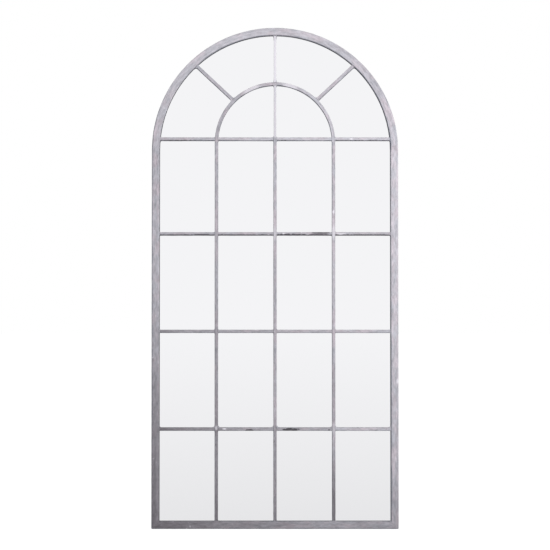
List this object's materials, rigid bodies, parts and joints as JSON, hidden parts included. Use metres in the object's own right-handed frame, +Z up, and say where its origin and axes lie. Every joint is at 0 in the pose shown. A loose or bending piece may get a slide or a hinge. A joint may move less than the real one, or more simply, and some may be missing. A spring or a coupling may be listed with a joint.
{
  "type": "arched window mirror",
  "caption": "Tall arched metal mirror with a welded tube frame, a grid of glazing bars, an inner arch and spokes over one mirror sheet, and swinging hanging rings behind.",
  "frame": {"origin": "middle of the bottom rail's underside, half way through the depth of the frame", "axes": "+Z up, +X to the viewer's right, +Y from the viewer through the glass to the wall"},
  "size_m": [0.8, 0.033, 1.6259],
  "materials": {
    "iron_wash": "lavender-grey brushed wash over dark iron, satin, worn at welds and edges",
    "mirror": "clear silvered float glass",
    "hardboard": "raw brown hardboard",
    "zinc_steel": "bright zinc plate",
    "black_rubber": "matt black rubber",
    "foam_tape": "matt black closed-cell foam"
  },
  "bodies": {
    "mirror": {"backing_board": "hardboard", "backing_clips": "zinc_steel", "bottom_rail": "iron_wash", "clip_screws": "zinc_steel", "cross_bar_row1_col1": "iron_wash", "cross_bar_row1_col2": "iron_wash", "cross_bar_row1_col3": "iron_wash", "cross_bar_row1_col4": "iron_wash", "cross_bar_row2_col1": "iron_wash", "cross_bar_row2_col2": "iron_wash", "cross_bar_row2_col3": "iron_wash", "cross_bar_row2_col4": "iron_wash", "cross_bar_row3_col1": "iron_wash", "cross_bar_row3_col2": "iron_wash", "cross_bar_row3_col3": "iron_wash", "cross_bar_row3_col4": "iron_wash", "cross_bar_row4_col1": "iron_wash", "cross_bar_row4_col2": "iron_wash", "cross_bar_row4_col3": "iron_wash", "cross_bar_row4_col4": "iron_wash", "crown_bar_lower": "iron_wash", "crown_bar_upper": "iron_wash", "edge_gasket": "black_rubber", "frame_arch": "iron_wash", "glazing_tape": "foam_tape", "hanger_screws": "zinc_steel", "hanger_strap_left": "zinc_steel", "hanger_strap_right": "zinc_steel", "inner_arch": "iron_wash", "mirror_glass": "mirror", "setting_blocks": "black_rubber", "spoke_left": "iron_wash", "spoke_right": "iron_wash", "stile_left": "iron_wash", "stile_right": "iron_wash", "upright_centre": "iron_wash", "upright_left": "iron_wash", "upright_right": "iron_wash", "wall_pads": "black_rubber"},
    "left_ring": {"hang_ring_left": "zinc_steel"},
    "right_ring": {"hang_ring_right": "zinc_steel"}
  },
  "joints": [
    {"name": "left_ring_swing", "type": "hinge", "parent": "mirror", "child": "left_ring", "pos_m": [-0.3875, 0.0158, 1.166], "axis": [1, 0, 0], "range_deg": [0, 180]},
    {"name": "right_ring_swing", "type": "hinge", "parent": "mirror", "child": "right_ring", "pos_m": [0.3875, 0.0158, 1.166], "axis": [1, 0, 0], "range_deg": [0, 180]}
  ]
}
